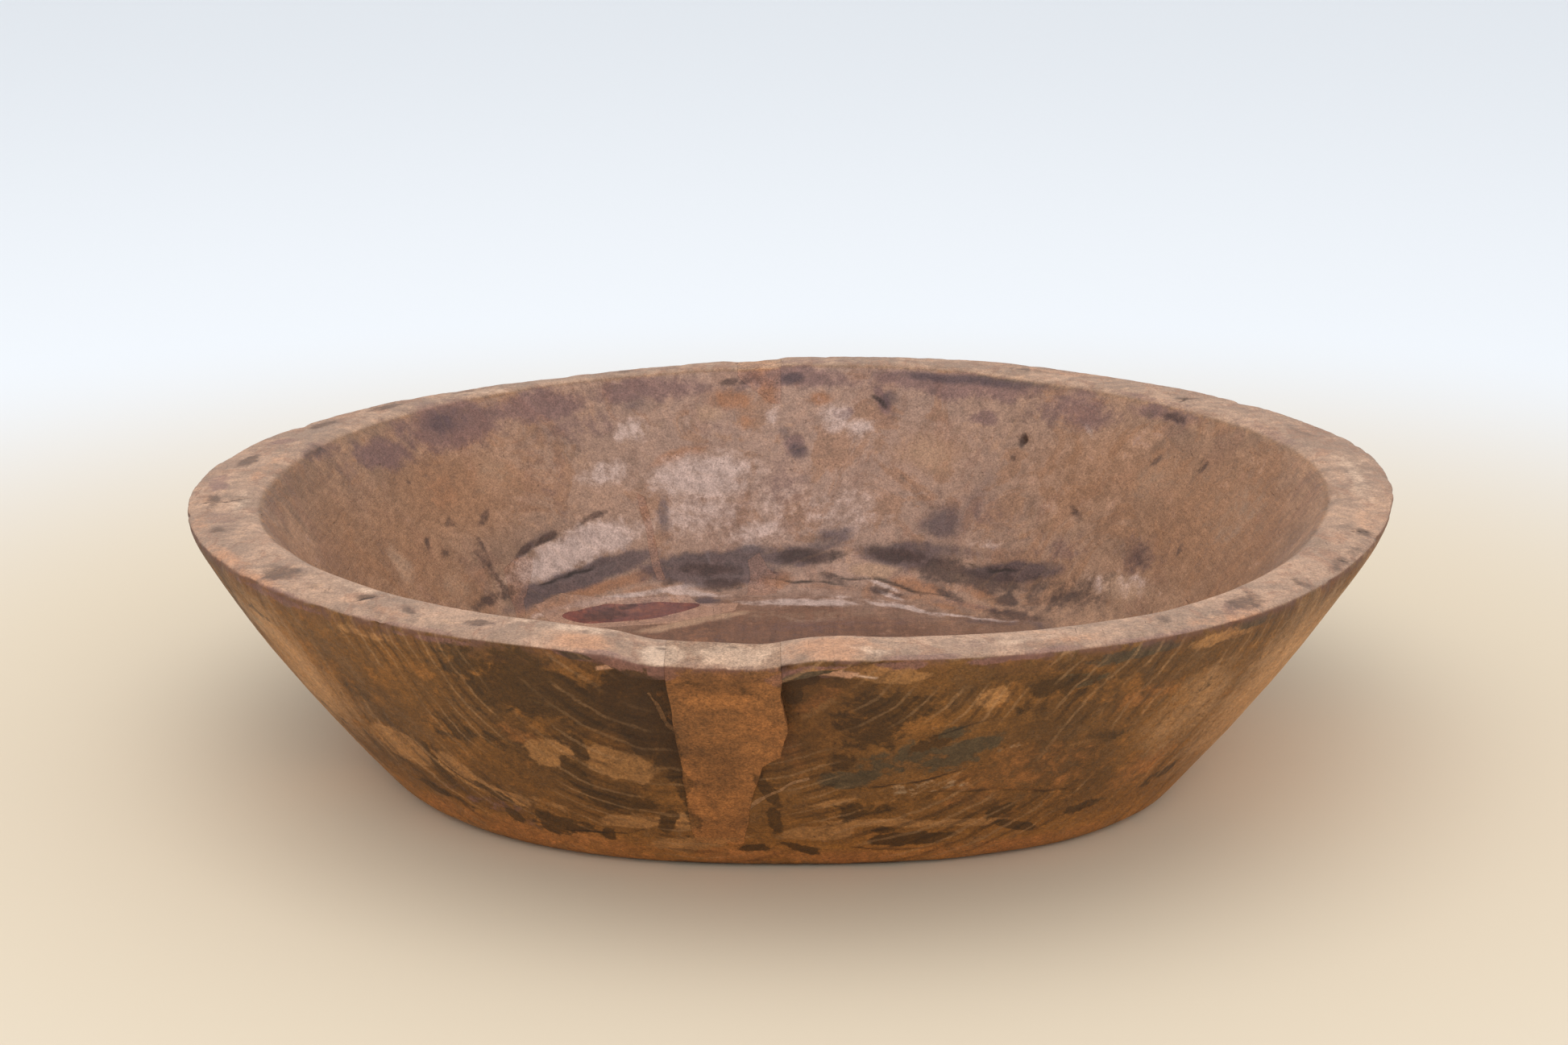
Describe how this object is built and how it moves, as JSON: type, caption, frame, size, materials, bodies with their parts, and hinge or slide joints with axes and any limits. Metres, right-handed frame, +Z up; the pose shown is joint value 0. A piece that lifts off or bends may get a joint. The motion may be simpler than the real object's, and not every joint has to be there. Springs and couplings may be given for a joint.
{
  "type": "carved wooden bowl",
  "caption": "Large shallow round bowl carved from one log, with a flared thick wall, a flat foot and splits filled with wood filler.",
  "frame": {"origin": "middle of the bowl's outline, on the surface it stands on", "axes": "+Z up out of the bowl; the large filled split in the wall faces -Y"},
  "size_m": [0.4966, 0.5024, 0.1102],
  "materials": {
    "carved_wood": "worn hand-carved hardwood, waxed, with dark stains",
    "wood_filler": "sanded sawdust and glue, granular and matt",
    "pale_filler": "pale sanded filler, matt",
    "knot_wood": "dense reddish knot wood, worn smooth"
  },
  "bodies": {
    "root": {"bowl_body": "carved_wood", "front_wall_fill": "wood_filler", "rear_rim_fill": "wood_filler", "rear_foot_fill": "wood_filler", "inside_streak_fill": "wood_filler", "inside_wedge_fill": "wood_filler", "left_crack_fill": "pale_filler", "right_crack_fill": "pale_filler", "floor_fill": "pale_filler", "floor_knot": "knot_wood"}
  },
  "joints": []
}
